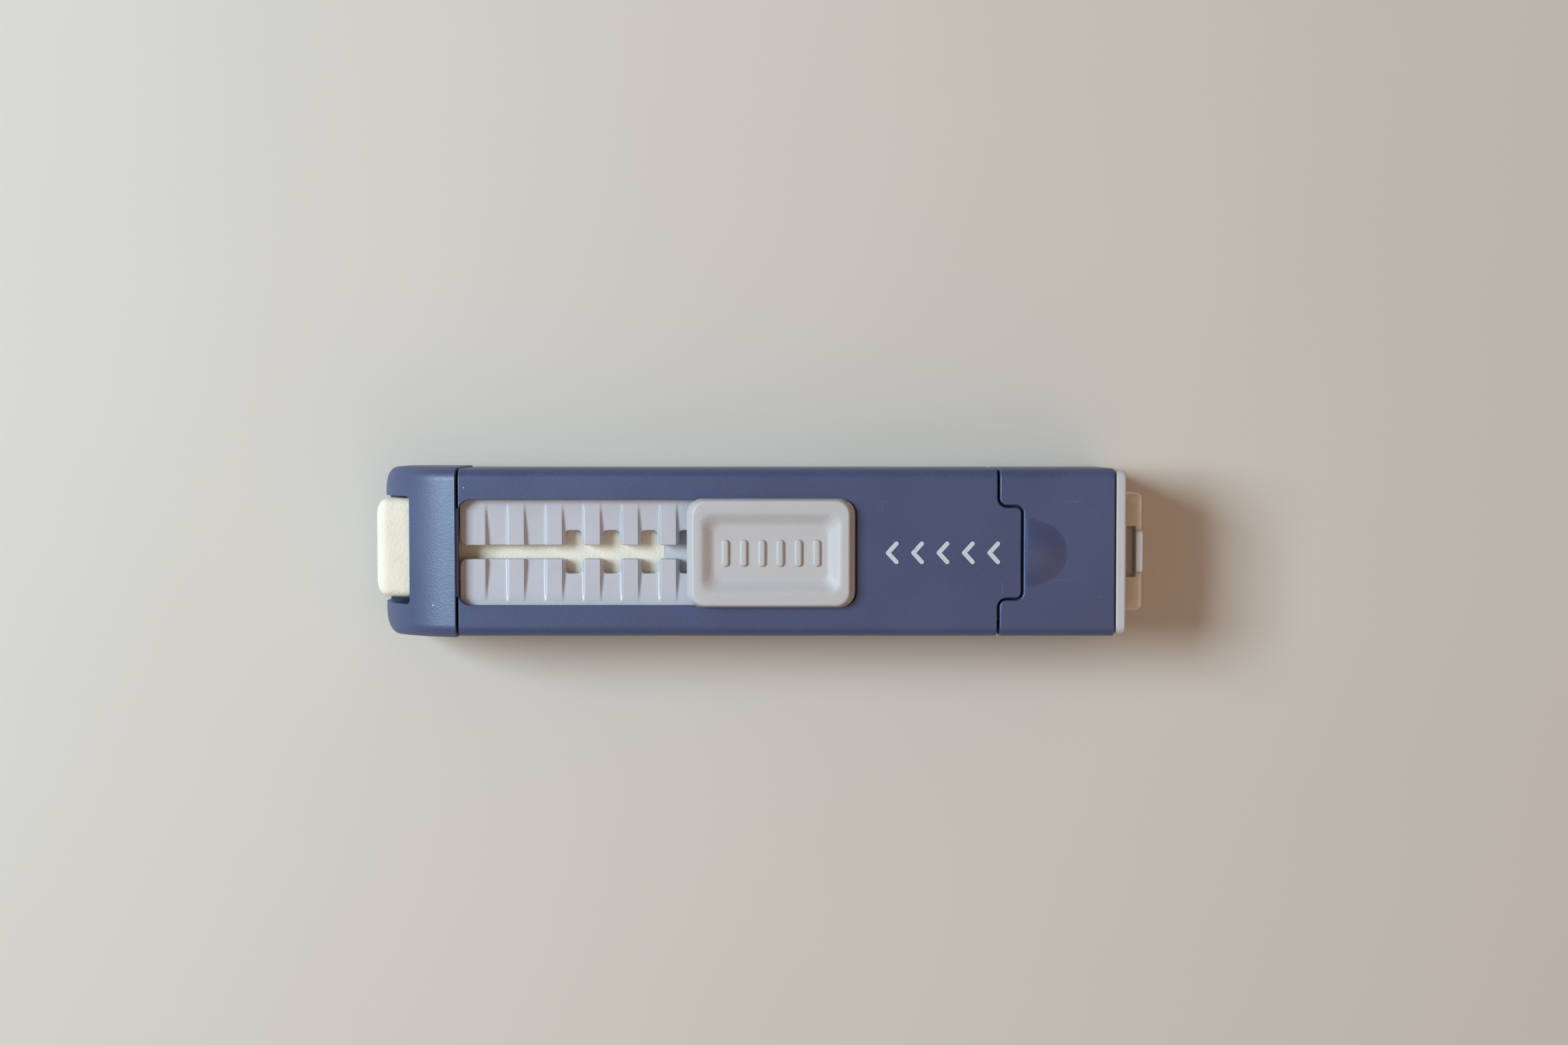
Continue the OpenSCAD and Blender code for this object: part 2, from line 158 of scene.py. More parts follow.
def slab(outline, z0, z1, flare=0.0):
    """Upright prism of an outline; flare rounds the mouth it cuts at z1 - flare outwards."""
    loops = [[(x, y, z0) for x, y in outline]]
    if not flare:
        return loft("slab", loops + [[(x, y, z1) for x, y in outline]])
    steps = 4
    for i in range(steps + 1):
        angle = math.pi / 2 * i / steps
        grow = flare * (1 - math.cos(angle))
        height = z1 - flare + flare * math.sin(angle)
        loops.append([(x, y, height) for x, y in offset(outline, grow)])
    loops.append([(x, y, z1 + 1.0) for x, y in offset(outline, flare)])
    return loft("slab", loops)


def offset(outline, distance):
    """The outline moved outwards along its point normals."""
    count = len(outline)
    moved = []
    for i, (x, y) in enumerate(outline):
        ax, ay = outline[i - 1]
        bx, by = outline[(i + 1) % count]
        before = Vector((x - ax, y - ay))
        after = Vector((bx - x, by - y))
        if before.length < 1e-9:
            before = after
        if after.length < 1e-9:
            after = before
        before.normalize()
        after.normalize()
        normal = Vector((before.y + after.y, -before.x - after.x))
        normal.normalize()
        cosine = max(0.5, normal.x * before.y - normal.y * before.x)
        moved.append((x + normal.x * distance / cosine, y + normal.y * distance / cosine))
    return moved


def centred(points, cx, cy=0.0):
    return [(x + cx, y + cy) for x, y in points]


def block(x0, x1, y0, y1, z0, z1):
    return slab([(x0, y0), (x1, y0), (x1, y1), (x0, y1)], z0, z1)


def rod(x, z, r, y0, y1):
    """Cylinder along Y."""
    steps = 32
    ring = arc(x, z, r, 0, 360 - 360 / steps, steps - 1)
    return loft("rod", [[(px, y, pz) for px, pz in ring] for y in (y0, y1)])


def bore(x0, x1, r):
    """Cylinder along X on the stick's middle line."""
    steps = 64
    ring = arc(0, MID_Z, r, 0, 360 - 360 / steps, steps - 1)
    return loft("bore", [[(x, py, pz) for py, pz in ring] for x in (x0, x1)])


def bake(obj):
    """Applies the object's modifiers to its mesh."""
    graph = bpy.context.evaluated_depsgraph_get()
    mesh = bpy.data.meshes.new_from_object(obj.evaluated_get(graph))
    obj.modifiers.clear()
    obj.data = mesh


def boolean(target, tool, operation):
    step = target.modifiers.new("step", "BOOLEAN")
    step.operation = operation
    step.solver = "EXACT"
    step.object = tool
    bake(target)
    bpy.data.objects.remove(tool)


def cut(target, *tools):
    for tool in tools:
        boolean(target, tool, "DIFFERENCE")
    return target


def add(target, *tools):
    for tool in tools:
        boolean(target, tool, "UNION")
    return target


def keep(target, *tools):
    for tool in tools:
        boolean(target, tool, "INTERSECT")
    return target


def bevel(obj, width, segments=3, angle=38):
    step = obj.modifiers.new("bevel", "BEVEL")
    step.width = width
    step.segments = segments
    step.limit_method = "ANGLE"
    step.angle_limit = math.radians(angle)
    step.use_clamp_overlap = False
    bake(obj)
    return obj


def finish_piece(obj, name, body, nodes, material, sharp=40, weighted=True):
    """Names, scales and shades a finished piece, gives it its material, attaches it to its body and
    hides the CAD nodes it replaces.
    """
    obj.name = name
    obj.data.name = name
    obj.data.transform(obj.matrix_world)
    obj.data.transform(Matrix.Scale(MM, 4))
    obj.data.materials.clear()
    obj.data.materials.append(material)
    smooth(obj, sharp, weighted)
    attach(obj, body)
    if nodes:
        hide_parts(*nodes)
    return obj


def smooth(obj, sharp=40, weighted=True):
    obj.data.polygons.foreach_set("use_smooth", [True] * len(obj.data.polygons))
    obj.data.set_sharp_from_angle(angle=math.radians(sharp))
    if weighted:
        step = obj.modifiers.new("normals", "WEIGHTED_NORMAL")
        step.keep_sharp = True


# ---------------------------------------------------------------- materials

class Finish:
    """A Principled material whose detail comes from object-space noise."""

    def __init__(self, name, color, roughness):
        self.material = bpy.data.materials.new(name)
        self.material.use_nodes = True
        self.tree = self.material.node_tree
        self.shader = self.tree.nodes["Principled BSDF"]
        self.color = (*color, 1.0)
        self.set("Base Color", self.color)
        self.set("Roughness", roughness)
        self.place = self.add("ShaderNodeTexCoord").outputs["Object"]

    def add(self, kind, **settings):
        node = self.tree.nodes.new(kind)
        for key, value in settings.items():
            setattr(node, key, value)
        return node

    def set(self, socket, value):
        if isinstance(value, bpy.types.NodeSocket):
            self.tree.links.new(value, self.shader.inputs[socket])
        else:
            self.shader.inputs[socket].default_value = value

    def feed(self, node, **values):
        for key, value in values.items():
            socket = node.inputs[int(key[1:])] if key[0] == "_" else node.inputs[key]
            if isinstance(value, bpy.types.NodeSocket):
                self.tree.links.new(value, socket)
            else:
                socket.default_value = value
        return node

    def stretched(self, sx, sy, sz, turn=0.0):
        node = self.add("ShaderNodeMapping")
        self.feed(node, Vector=self.place, Scale=(sx, sy, sz), Rotation=(0, 0, turn))
        return node.outputs["Vector"]

    def noise(self, size, detail=2.0, place=None, rough=0.5):
        """Noise whose blobs are about size metres across."""
        node = self.add("ShaderNodeTexNoise")
        self.feed(node, Vector=place or self.place, Scale=1 / size, Detail=detail, Roughness=rough)
        return node.outputs["Fac"]

    def cells(self, size, place=None):
        node = self.add("ShaderNodeTexVoronoi")
        self.feed(node, Vector=place or self.place, Scale=1 / size)
        return node.outputs["Distance"], node.outputs["Color"]

    def band(self, value, low, high, out_low=0.0, out_high=1.0):
        """Value from low..high mapped to out_low..out_high and clamped."""
        node = self.add("ShaderNodeMapRange")
        self.feed(node, Value=value, _1=low, _2=high, _3=out_low, _4=out_high)
        return node.outputs["Result"]

    def math(self, operation, a, b=0.0):
        node = self.add("ShaderNodeMath", operation=operation)
        self.feed(node, _0=a, _1=b)
        return node.outputs["Value"]

    def mix(self, factor, a, b):
        node = self.add("ShaderNodeMix", data_type="RGBA")
        self.feed(node, _0=factor, _6=a, _7=b)
        return node.outputs[2]

    def tint(self, factor):
        """The base colour made lighter or darker."""
        return tuple(min(1.0, c * factor) for c in self.color[:3]) + (1.0,)

    def bumps(self, *layers):
        """Stacks (height, depth in metres, strength) layers into one normal."""
        normal = None
        for height, depth, strength in layers:
            node = self.add("ShaderNodeBump")
            self.feed(node, Height=height, Distance=depth, Strength=strength)
            if normal:
                self.feed(node, Normal=normal)
            normal = node.outputs["Normal"]
        self.set("Normal", normal)

    def specks(self, size, radius, share, place=None):
        """Mask of small dots: one cell in every 1 / share holds a dot of that radius."""
        distance, color = self.cells(size, place)
        red = self.add("ShaderNodeSeparateColor")
        self.feed(red, Color=color)
        chosen = self.math("LESS_THAN", red.outputs["Red"], share)
        reach = self.math("MULTIPLY", red.outputs["Green"], radius / size)
        return self.math("MULTIPLY", chosen, self.math("LESS_THAN", distance, reach))


def soft_touch(name, color):
    """Navy soft-touch plastic: fine grain, dust, faint scratches, and reflections tinted with painted
    bluish light.
    """
    f = Finish(name, color, 0.5)
    clouds = f.noise(0.012, 3)
    grain = f.noise(0.00017, 2)
    shade = f.mix(f.band(clouds, 0.3, 0.7), f.tint(0.9), f.tint(1.1))
    shade = f.mix(f.band(grain, 0.35, 0.7, 0, 0.35), shade, f.tint(1.7))
    scratch_a = f.band(f.noise(1, 1, f.stretched(240, 6500, 90, 0.5)), 0.735, 0.76)
    scratch_b = f.band(f.noise(1, 1, f.stretched(6000, 260, 70, 0.6)), 0.74, 0.77)
    patches = f.band(f.noise(0.009, 1), 0.52, 0.62)
    scratches = f.math("MULTIPLY", f.math("MAXIMUM", scratch_a, scratch_b), patches)
    shade = f.mix(f.math("MULTIPLY", scratches, 0.14), shade, (0.45, 0.48, 0.6, 1))
    dust = f.math("MAXIMUM", f.specks(0.0022, 0.0001, 0.3), f.specks(0.0009, 0.00004, 0.18))
    shade = f.mix(f.math("MULTIPLY", dust, 0.75), shade, (0.75, 0.76, 0.8, 1))
    f.set("Base Color", shade)
    f.set("Roughness", f.band(clouds, 0.3, 0.7, 0.42, 0.48))
    f.set("Specular IOR Level", 0.82)
    # bluish specular tint: painted colour of the bluish window light in the reflections
    f.set("Specular Tint", (0.76, 0.93, 1.0, 1.0))
    f.bumps((grain, 0.00004, 0.65), (f.noise(0.0006, 2), 0.00003, 0.25))
    return f.material


def track_plastic():
    """Semi-gloss moulded plastic, with flow marks and a little dust."""
    f = Finish("track_plastic", (0.51, 0.52, 0.585), 0.3)
    clouds = f.noise(0.006, 3)
    shade = f.mix(clouds, f.tint(0.95), f.tint(1.06))
    dust = f.specks(0.0014, 0.00006, 0.25)
    f.set("Base Color", f.mix(f.math("MULTIPLY", dust, 0.7), shade, (0.9, 0.9, 0.92, 1)))
    f.set("Roughness", f.band(f.noise(0.0015, 3), 0.3, 0.7, 0.24, 0.38))
    f.set("Subsurface Weight", 0.12)
    f.set("Subsurface Radius", (1.0, 0.8, 0.9))
    f.set("Subsurface Scale", 0.0006)
    f.bumps((f.noise(0.0009, 3), 0.00003, 0.25), (f.noise(0.0002, 2), 0.000006, 0.2))
    return f.material


def spark_grain():
    """Warm gray plastic with the even sparkle of a spark-eroded mould."""
    f = Finish("spark_grain", (0.50, 0.495, 0.515), 0.45)
    grain = f.noise(0.00014, 3, rough=0.7)
    glint = f.specks(0.00022, 0.00007, 0.3)
    clouds = f.noise(0.005, 2)
    shade = f.mix(clouds, f.tint(0.96), f.tint(1.04))
    shade = f.mix(f.band(grain, 0.35, 0.7, 0, 0.3), shade, f.tint(1.25))
    f.set("Base Color", shade)
    f.set("Roughness", f.band(glint, 0, 1, 0.46, 0.22))
    f.set("Subsurface Weight", 0.1)
    f.set("Subsurface Radius", (1.0, 0.85, 0.8))
    f.set("Subsurface Scale", 0.0006)
    f.bumps((grain, 0.00004, 0.5), (glint, 0.00002, 0.3))
    return f.material


def satin_plastic(name, color):
    """Plain satin moulding with a fine grain."""
    roughness = 0.42
    f = Finish(name, color, roughness)
    clouds = f.noise(0.004, 2)
    f.set("Base Color", f.mix(clouds, f.tint(0.95), f.tint(1.05)))
    f.set("Roughness", f.band(f.noise(0.0012, 2), 0.3, 0.7, roughness - 0.06, roughness + 0.06))
    f.bumps((f.noise(0.00018, 2), 0.00001, 0.4))
    return f.material


def rubber_block():
    """Powdery white vinyl eraser: pitted faces with painted shade in each pit, and soft smudges."""
    f = Finish("eraser_vinyl", (0.84, 0.80, 0.69), 0.85)
    pits_and_pit_shade = f.specks(0.0004, 0.00012, 0.3)
    clouds = f.noise(0.003, 3)
    shade = f.mix(clouds, f.tint(0.95), f.tint(1.04))
    # the pits are painted darker: painted shade in the pits; the same mask also sinks them as bumps
    shade = f.mix(f.math("MULTIPLY", pits_and_pit_shade, 0.35), shade, f.tint(0.8))
    f.set("Base Color", shade)
    f.set("Subsurface Weight", 0.25)
    f.set("Subsurface Radius", (1.0, 0.85, 0.6))
    f.set("Subsurface Scale", 0.001)
    f.set("Specular IOR Level", 0.25)
    inverse = f.math("SUBTRACT", 1.0, pits_and_pit_shade)
    f.bumps((f.noise(0.0004, 4, rough=0.7), 0.00014, 0.8), (inverse, 0.00006, 0.7))
    return f.material


def smoky_clear():
    """Smoky translucent plastic of the flap."""
    f = Finish("smoky_clear", (0.80, 0.66, 0.57), 0.2)
    f.set("Transmission Weight", 0.1)
    f.set("Subsurface Weight", 0.7)
    f.set("Subsurface Radius", (1.0, 0.75, 0.6))
    f.set("Subsurface Scale", 0.003)
    f.set("IOR", 1.46)
    f.set("Roughness", f.band(f.noise(0.0012, 3), 0.3, 0.7, 0.16, 0.3))
    f.bumps((f.noise(0.0007, 3), 0.00002, 0.2))
    return f.material


def steel(name, color, roughness, grind):
    """Ground or plated steel; grind is how strongly the grinding lines show."""
    f = Finish(name, color, roughness)
    f.set("Metallic", 1.0)
    lines = f.noise(1, 3, f.stretched(120, 9000, 9000))
    f.set("Roughness", f.band(lines, 0.3, 0.7, roughness - 0.07, roughness + 0.1))
    f.set("Base Color", f.mix(f.noise(0.002, 3), f.tint(0.88), f.tint(1.08)))
    f.bumps((lines, 0.000006, grind))
    return f.material


def pad_print():
    """Light gray print with small worn spots."""
    f = Finish("pad_print", (0.55, 0.62, 0.68), 0.5)
    worn = f.band(f.noise(0.0003, 4, rough=0.7), 0.62, 0.68)
    f.set("Base Color", f.mix(f.math("MULTIPLY", worn, 0.7), f.tint(1.0), (0.12, 0.14, 0.27, 1)))
    f.bumps((f.noise(0.00015, 2), 0.00001, 0.4))
    return f.material


def floor_paint():
    f = Finish("floor_paint", (0.62, 0.585, 0.535), 0.7)
    f.set("Base Color", f.mix(f.noise(0.05, 3), f.tint(0.98), f.tint(1.02)))
    f.bumps((f.noise(0.0012, 3), 0.00005, 0.15))
    return f.material


NAVY = soft_touch("soft_touch_navy", (0.048, 0.060, 0.146))
TRACK = track_plastic()
SLIDER = spark_grain()
CARRIER = satin_plastic("carrier_plastic", (0.55, 0.58, 0.63))
RUBBER = rubber_block()
PALE = satin_plastic("pale_plastic", (0.53, 0.52, 0.565))
BLOCK = satin_plastic("sharpener_plastic", (0.36, 0.37, 0.41))
SMOKY = smoky_clear()
# tab gray lighter than the end plate's: painted light that makes up for the plate's shadow falling on
# the tab
GRIP_PAINTED_LIGHT = satin_plastic("grip_plastic_painted_light", (0.68, 0.71, 0.77))
BLADE = steel("ground_steel", (0.62, 0.63, 0.65), 0.28, 0.5)
PLATED = steel("plated_steel", (0.66, 0.67, 0.69), 0.22, 0.15)
PRINT = pad_print()


# ---------------------------------------------------------------- case

def tongue_outline(grow, x_back):
    """Tongue at the case's rear end, with its root fillets, from x_back on."""
    half = TONGUE_W / 2 + grow
    root = TONGUE_ROOT_R - grow
    corner = TONGUE_R + grow
    root_x = REAR + TONGUE_ROOT_R
    root_y = TONGUE_W / 2 + TONGUE_ROOT_R
    corner_x = REAR + TONGUE_LEN + grow - corner
    return ([(x_back, -root_y)]
            + arc(root_x, -root_y, root, 180, -90, 8)
            + arc(corner_x, corner - half, corner, -90, 90, 8)
            + arc(corner_x, half - corner, corner, 0, 90, 8)
            + arc(root_x, root_y, root, -90, -90, 8)
            + [(x_back, root_y)])


def make_case():
    """Case with the window, the tongue, and the spigot that the bin slides on."""
    collar = 2.2                     # solid ring that ties the spigot to the case's walls
    shell = bar(FRONT, REAR, CASE_W, 0, CASE_H, EDGE_R)
    add(shell, slab(tongue_outline(0, REAR - 1), DECK - SPIGOT_GAP, CASE_H))
    bevel(shell, 0.15)
    spigot_w = CASE_W - 2 * WALL - 2 * SPIGOT_GAP
    low, high = WALL + SPIGOT_GAP, DECK - SPIGOT_GAP
    add(shell, bevel(bar(REAR - 1, case_hi.x, spigot_w, low, high, WALL), 0.2))
    cavity_w = CASE_W - 2 * WALL
    cut(shell,
        bar(FRONT - 1, BULKHEAD[0], cavity_w, WALL, DECK, INNER_R),
        bar(BULKHEAD[1], REAR - collar, cavity_w, WALL, DECK, INNER_R),
        bar(BULKHEAD[1], case_hi.x + 1, spigot_w - 2 * SPIGOT_WALL,
            low + SPIGOT_WALL, high - SPIGOT_WALL, INNER_R))
    start = FRONT - 0.15             # the window is open towards the cap
    window = centred(round_rect(WINDOW_END - start, WINDOW_W, WINDOW_R, 12), (start + WINDOW_END) / 2)
    cut(shell, slab(window, DECK - 0.5, CASE_H, flare=0.12))
    finish_piece(shell, "case_shell", "housing", ["body_shell"], NAVY)


def make_print():
    """Row of printed chevrons that shows which way the slider goes."""
    reach, rise, stroke, count, pitch = 1.05, 1.15, 0.55, 5, 3.2
    first_x = 16.4
    mark = None
    for i in range(count):
        x = first_x + i * pitch
        for side in (-1, 1):
            angle = math.atan2(side * rise, reach)
            length = math.hypot(reach, rise) + stroke
            pill = round_rect(length, stroke, stroke / 2 - 0.001, 6)
            middle = (x + reach / 2, side * rise / 2)
            outline = [(middle[0] + px * math.cos(angle) - py * math.sin(angle),
                        middle[1] + px * math.sin(angle) + py * math.cos(angle)) for px, py in pill]
            stroke_solid = slab(outline, CASE_H - 0.05, CASE_H + 0.015)
            mark = add(mark, stroke_solid) if mark else stroke_solid
    finish_piece(mark, "case_print", "housing", [], PRINT)


# ---------------------------------------------------------------- nose cap

CAP_W = cap_hi.y - cap_lo.y
CAP_END = FRONT - SEAM
NOSE_Z = 5.4                         # height of the cap's foremost point
ARCH_LEN, ARCH_H = 14.05, 12.12      # half axes of the brow, an ellipse seen from the side
CHIN_R = 3.6
PLAN_R = 2.6                         # radius of the cap's front corners seen from above
MOUTH_W, MOUTH_Y, MOUTH_TOP = 13.8, 0.15, 14.04    # width, middle and top of the eraser's mouth


def cap_section(x, turn, inset):
    """Outline of the cap at x; turn is the angle along the brow's ellipse."""
    back = x - cap_lo.x
    tuck = max(0.0, PLAN_R - back)
    wide = CAP_W / 2 - PLAN_R + math.sqrt(PLAN_R ** 2 - tuck ** 2) - inset
    tuck = max(0.0, CHIN_R - back)
    low = CHIN_R - math.sqrt(CHIN_R ** 2 - tuck ** 2) + inset
    high = (NOSE_Z + ARCH_H * math.cos(turn) - inset - low) / 2
    outline = round_rect(2 * wide, 2 * high, min(1.7, 0.96 * high), 10)
    return [(x, y, low + high + z) for y, z in outline]


def make_cap():
    """Cap lofted from the seam to its nose, with mouth, pocket, lip and two latches."""
    arch_x = cap_lo.x + ARCH_LEN
    seam_turn = math.asin((arch_x - CAP_END) / ARCH_LEN)
    last_turn, stations, rim = math.radians(88.5), 26, 0.12
    loops = [cap_section(CAP_END - rim * back, seam_turn, rim * inset)
             for back, inset in ((0, 1), (0.3, 0.3), (1, 0))]
    for i in range(1, stations + 1):
        turn = seam_turn + (last_turn - seam_turn) * i / stations
        loops.append(cap_section(arch_x - ARCH_LEN * math.sin(turn), turn, 0.0))
    cap = loft("cap", loops)
    mouth = bar(cap_lo.x - 1, CAP_END + 1, MOUTH_W, CHANNEL_Z[0], MOUTH_TOP, INNER_R)
    mouth.data.transform(Matrix.Translation((0, MOUTH_Y, 0)))
    cut(cap, mouth)
    bevel(cap, 0.1, 2, 55)
    core_x = CAP_END - 4
    pocket = bar(core_x, CAP_END + 1, CAP_W - 2 * WALL, WALL, MOUTH_TOP + INNER_R, WALL)
    cut(pocket, bar(core_x - 1, CAP_END + 2, MOUTH_W + 2, CHANNEL_Z[0] - 1, MOUTH_TOP + 1, 1))
    cut(cap, pocket)
    lip_y, latch_y, latch_t, latch_h = 5.6, 8.4, 1.0, 7.0
    lip = block(CAP_END - 1, FRONT - 0.05, -lip_y, lip_y, DECK + 0.05, CASE_H - 0.15)
    add(cap, bevel(lip, 0.06, 2))
    for side in (-1, 1):
        y = side * latch_y
        latch = block(core_x - 0.1, cap_hi.x, y - latch_t / 2, y + latch_t / 2,
                      MID_Z - latch_h / 2, MID_Z + latch_h / 2)
        add(cap, bevel(latch, 0.15, 2))
    finish_piece(cap, "cap_shell", "housing", ["nose_cap"], NAVY, sharp=32)


# ---------------------------------------------------------------- track

RIB_PITCH = 4.82
RIB_W = 2.05
RIB_COUNT = 9
FIRST_RIB = -31.7                    # X where the first rib starts
END_BLOCK = -34.55                   # X where the flat at the front ends
SCOOP = 0.6                          # depth of the troughs in the middle
SLOT_W = 1.76
SLOT_END = 9.2
NOTCH_W = 5.5                        # click notches: across the stick, along it, and corners
NOTCH_LEN = 2.1
NOTCH_R = 0.5
FRONT_CORNER = 0.65                  # plan radius of the slot's corners at the front end
RIB_CORNER = 0.5                     # plan radius of a rib's corner at the slot
RIB_EDGE = 0.3                       # length of the soft step at a rib's edge
SCOOP_HALF = WINDOW_W / 2 - 0.35     # half width of the scooped part


def trough_spans():
    """Start and end along X of every trough, from the front."""
    spans = [(END_BLOCK, FIRST_RIB)]
    for i in range(RIB_COUNT):
        start = FIRST_RIB + RIB_W + i * RIB_PITCH
        spans.append((start, start + RIB_PITCH - RIB_W))
    return spans


def notch_centres():
    """Middle of every trough that has click notches: not the first two, nor the last."""
    return [sum(ends) / 2 for ends in trough_spans()[2:RIB_COUNT]]


def opening_distance(x, y):
    """Distance from the slot and notches, positive on the solid."""
    best = math.hypot(max(0.0, x - SLOT_END), max(0.0, abs(y) - SLOT_W / 2))
    front_x = track_lo.x + FRONT_CORNER - x
    front_y = SLOT_W / 2 + FRONT_CORNER - abs(y)
    if front_x > 0 and front_y > 0:
        best = min(best, FRONT_CORNER - math.hypot(front_x, front_y))
    for centre in notch_centres():
        dx = abs(x - centre) - NOTCH_LEN / 2 + NOTCH_R
        dy = abs(y) - NOTCH_W / 2 + NOTCH_R
        away = math.hypot(max(0.0, dx), max(0.0, dy)) + min(0.0, max(dx, dy)) - NOTCH_R
        best = min(best, away)
        corner_x = abs(x - centre) - NOTCH_LEN / 2 - RIB_CORNER
        corner_y = abs(y) - SLOT_W / 2 - RIB_CORNER
        if corner_x < 0 and corner_y < 0:
            best = min(best, RIB_CORNER - math.hypot(corner_x, corner_y))
    return best


def notch_outline(centre):
    """A pair of click notches across the slot, with rounded rib corners where they meet it."""
    half, low = NOTCH_LEN / 2, SLOT_W / 2
    upper = (arc(half + RIB_CORNER, low + RIB_CORNER, RIB_CORNER, -90, -90, 5)
             + arc(half - NOTCH_R, NOTCH_W / 2 - NOTCH_R, NOTCH_R, 0, 90, 6)
             + arc(NOTCH_R - half, NOTCH_W / 2 - NOTCH_R, NOTCH_R, 90, 90, 6)
             + arc(-half - RIB_CORNER, low + RIB_CORNER, RIB_CORNER, 0, -90, 5))
    lower = [(-x, -y) for x, y in upper]
    return centred(upper + lower, centre)


def trough_mask(x):
    """1 inside a trough, 0 on a rib, with soft steps that lean into the trough."""
    for start, end in trough_spans():
        if start <= x <= end:
            step = min(x - start, end - x) / RIB_EDGE
            if step >= 1:
                return 1.0
            return math.sin(step * math.pi / 2) ** 0.9
    return 0.0


def track_height(x, y):
    """Height of the track's top: scooped troughs, crowned ribs, rounded openings."""
    scoop = 0.0
    if abs(y) < SCOOP_HALF:
        radius = (SCOOP_HALF ** 2 + SCOOP ** 2) / (2 * SCOOP)
        scoop = math.sqrt(radius ** 2 - y ** 2) - (radius - SCOOP)
    height = DECK - scoop * trough_mask(x)
    crown = 0.1
    for start, end in trough_spans():
        for edge in (start, end):
            near = abs(x - edge)
            if near < crown and trough_mask(x) == 0.0:
                height -= (crown - math.sqrt(crown ** 2 - (crown - near) ** 2)) * min(1.0, scoop / 0.3)
    reach = 0.14
    away = opening_distance(x, y)
    if away < reach:
        away = max(0.0, away)
        height -= reach - math.sqrt(reach ** 2 - (reach - away) ** 2)
    return height


def graded(stops, fine, coarse):
    """Grid lines from stops: (position, how far fine spacing reaches)."""
    low, high = stops[0][0], stops[-1][0]
    lines = set()
    position = low
    while position < high:
        lines.add(round(position, 5))
        near = min(abs(position - p) - reach for p, reach in stops)
        position += fine if near < fine else min(coarse, max(fine, near))
    lines.add(high)
    for p, _ in stops:
        lines.add(p)
    ordered = sorted(lines)
    kept = [ordered[0]]
    for line in ordered[1:]:
        if line - kept[-1] > 0.02:
            kept.append(line)
    return kept


def make_track():
    """Track as a fine height field on a flat base, with channel, slot and notches cut through."""
    end_wall = 1.15
    half_w = (track_hi.y - track_lo.y) / 2
    x_stops = [(track_lo.x, 0.1)]
    for start, end in trough_spans():
        x_stops += [(start, RIB_EDGE), (end, RIB_EDGE)]
    x_stops += [(SLOT_END, 0.2), (track_hi.x, 0.1)]
    xs = graded(x_stops, 0.07, 0.4)
    ys = graded([(0.0, 0.0), (SLOT_W / 2, 0.2), (NOTCH_W / 2, 0.2), (SCOOP_HALF, 0.2), (half_w, 0.0)],
                0.06, 0.4)
    ys = [-y for y in reversed(ys[1:])] + ys
    verts = [(x, y, track_height(x, y)) for x in xs for y in ys]
    wide = len(ys)
    faces = [(i * wide + j, (i + 1) * wide + j, (i + 1) * wide + j + 1, i * wide + j + 1)
             for i in range(len(xs) - 1) for j in range(wide - 1)]
    top_count = len(verts)
    rim = ([i * wide for i in range(len(xs))]
           + [(len(xs) - 1) * wide + j for j in range(1, wide)]
           + [i * wide + wide - 1 for i in range(len(xs) - 2, -1, -1)]
           + [j for j in range(wide - 2, 0, -1)])
    for index in rim:
        x, y, _ = verts[index]
        verts.append((x, y, WALL))
    count = len(rim)
    for k in range(count):
        n = (k + 1) % count
        faces.append((rim[k], rim[n], top_count + n, top_count + k))
    faces.append(tuple(top_count + k for k in range(count)))
    track = mesh_object("track", verts, faces)
    fix_normals(track)
    cut(track, bar(track_lo.x - 1, track_hi.x - end_wall, CHANNEL_W, *CHANNEL_Z, INNER_R, 4))
    flare_x, flare_y = track_lo.x + FRONT_CORNER, SLOT_W / 2 + FRONT_CORNER
    slot = ([(SLOT_END, -SLOT_W / 2), (SLOT_END, SLOT_W / 2)]
            + arc(flare_x, flare_y, FRONT_CORNER, -90, -90, 8)
            + [(track_lo.x - 1, flare_y), (track_lo.x - 1, -flare_y)]
            + arc(flare_x, -flare_y, FRONT_CORNER, 180, -90, 8))
    cut(track, slab(slot, CHANNEL_Z[1] - 1, DECK + 1))
    for centre in notch_centres():
        cut(track, slab(notch_outline(centre), CHANNEL_Z[1] - 1, DECK + 1))
    finish_piece(track, "track_ladder", "housing", ["track_sleeve"], TRACK, sharp=50,
                 weighted=False)


# ---------------------------------------------------------------- slider, carrier and eraser

def pad_loop(length, width, r, x, z, steps=10):
    """Level rounded rectangle at a height."""
    return [(x + px, py, z) for px, py in round_rect(length, width, r, steps)]


